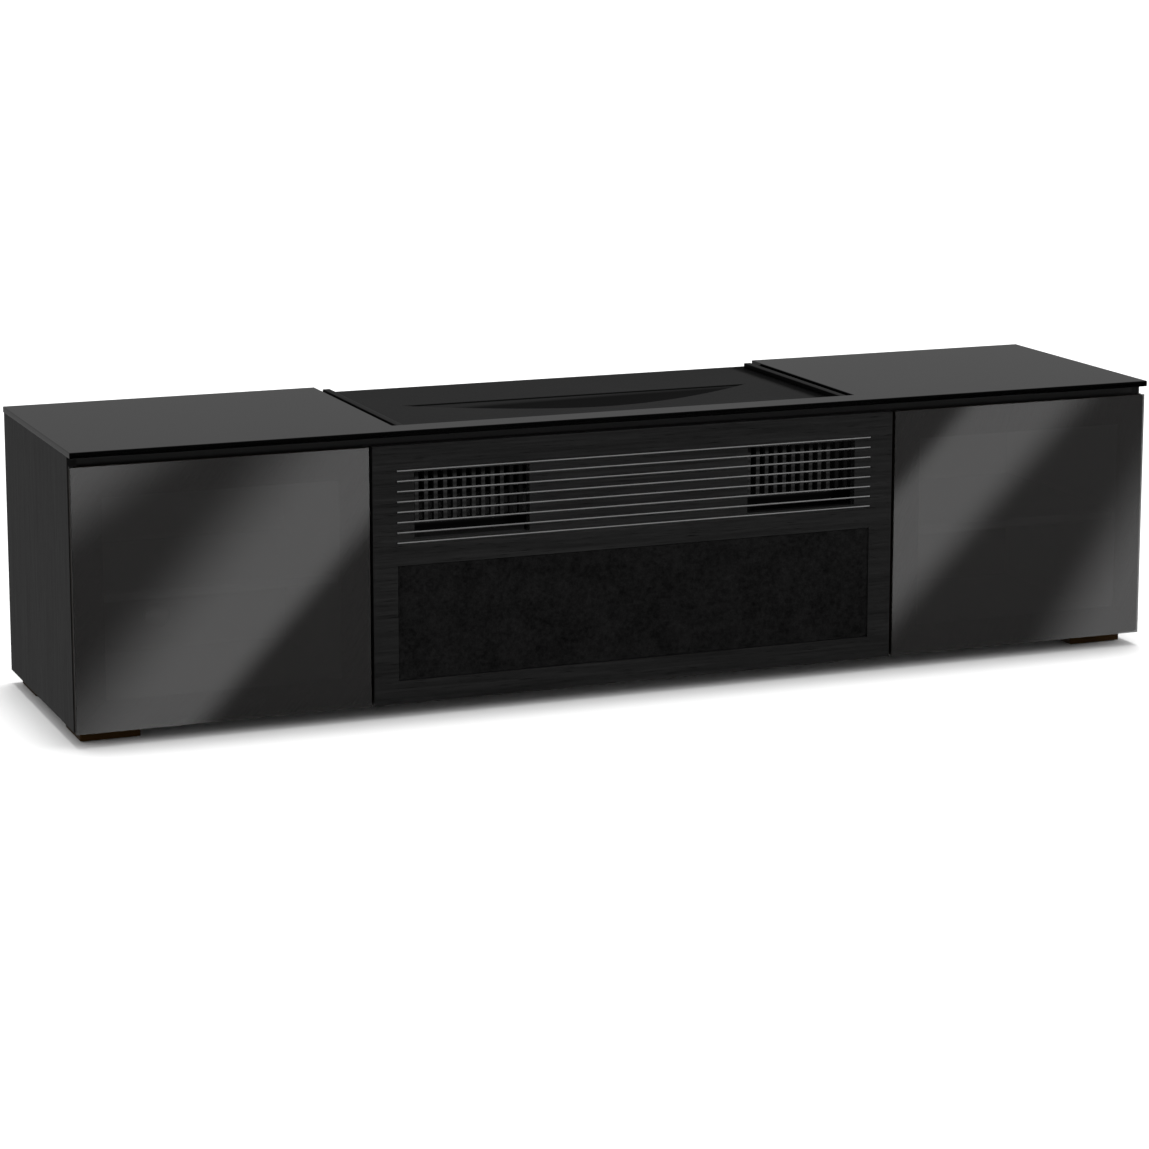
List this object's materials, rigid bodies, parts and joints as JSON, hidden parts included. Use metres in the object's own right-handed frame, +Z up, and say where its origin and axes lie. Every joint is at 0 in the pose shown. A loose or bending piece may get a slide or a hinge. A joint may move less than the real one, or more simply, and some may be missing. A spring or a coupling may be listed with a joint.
{
  "type": "media cabinet",
  "caption": "Low black media cabinet with a U-shaped glass top over a sunken projector deck, smoked-glass side doors and a drop-down centre front with vent rods and speaker cloth.",
  "frame": {"origin": "on the floor, at the centre of the footprint", "axes": "+X to the right seen from the front, along the cabinet's width; the front faces -Y; +Z up"},
  "size_m": [2.34, 0.575, 0.579],
  "materials": {
    "black_glass": "polished black back-painted glass",
    "smoked_glass": "polished smoked glass",
    "black_veneer": "satin black open-grain veneer",
    "black_lacquer": "satin black lacquer",
    "dark_board": "matte black laminate",
    "raw_batten": "dark stained batten",
    "black_plastic": "matte black",
    "black_aluminium": "satin black anodised",
    "board_core": "black stained fibreboard",
    "speaker_fabric": "woven acoustic cloth",
    "rod_aluminium": "satin anodised",
    "hinge_steel": "black zinc plated",
    "bright_steel": "nickel plated",
    "screw_black": "black oxide",
    "foot_wood": "dark brown lacquer",
    "soft_rubber": "matte",
    "nylon": "matte"
  },
  "bodies": {
    "root": {"glass_top": "black_glass", "top_front_rail": "black_lacquer", "top_board_left": "dark_board", "top_board_right": "dark_board", "deck_panel": "black_lacquer", "deck_rail_left": "black_lacquer", "deck_rail_right": "black_lacquer", "lens_well": "black_plastic", "side_panel_left": "black_veneer", "side_panel_right": "black_veneer", "divider_left": "dark_board", "divider_right": "dark_board", "bottom_board": "dark_board", "deck_bearer_left": "raw_batten", "deck_bearer_right": "raw_batten", "back_panel_left": "dark_board", "back_panel_right": "dark_board", "back_panel_centre": "dark_board", "shelf_left": "dark_board", "shelf_right": "dark_board", "shelf_centre": "dark_board", "shelf_cleats": "raw_batten", "shelf_pins": "bright_steel", "cable_grommets": "black_plastic", "back_screws": "screw_black", "foot_front_left": "foot_wood", "foot_front_right": "foot_wood", "foot_rear_left": "foot_wood", "foot_rear_right": "foot_wood", "foot_middle_left": "foot_wood", "foot_middle_right": "foot_wood", "foot_pads": "soft_rubber", "pivot_brackets_left": "hinge_steel", "pivot_brackets_right": "hinge_steel", "pivot_pins_left": "bright_steel", "pivot_pins_right": "bright_steel", "pivot_washers_left": "nylon", "pivot_washers_right": "nylon", "magnet_catches": "black_plastic", "flap_hinge_fixed": "hinge_steel", "flap_hinge_pins": "bright_steel"},
    "door_left": {"door_glass_left": "smoked_glass", "door_frame_left": "black_aluminium", "door_strike_left": "bright_steel", "door_buffers_left": "soft_rubber"},
    "door_right": {"door_glass_right": "smoked_glass", "door_frame_right": "black_aluminium", "door_strike_right": "bright_steel", "door_buffers_right": "soft_rubber"},
    "flap": {"flap_panel": "black_veneer", "vent_rods": "rod_aluminium", "vent_grille_left": "black_plastic", "vent_grille_right": "black_plastic", "speaker_frame": "board_core", "speaker_cloth": "speaker_fabric", "flap_hinge_moving": "hinge_steel", "flap_strikes": "bright_steel", "flap_buffers": "soft_rubber"}
  },
  "joints": [
    {"name": "door_left_swing", "type": "hinge", "parent": "root", "child": "door_left", "pos_m": [-1.1625, -0.269, 0.2885], "axis": [0, 0, -1], "range_deg": [0, 100]},
    {"name": "door_right_swing", "type": "hinge", "parent": "root", "child": "door_right", "pos_m": [1.1625, -0.269, 0.2885], "axis": [0, 0, 1], "range_deg": [0, 100]},
    {"name": "flap_drop", "type": "hinge", "parent": "root", "child": "flap", "pos_m": [0, -0.26, 0.0295], "axis": [1, 0, 0], "range_deg": [0, 90]}
  ]
}
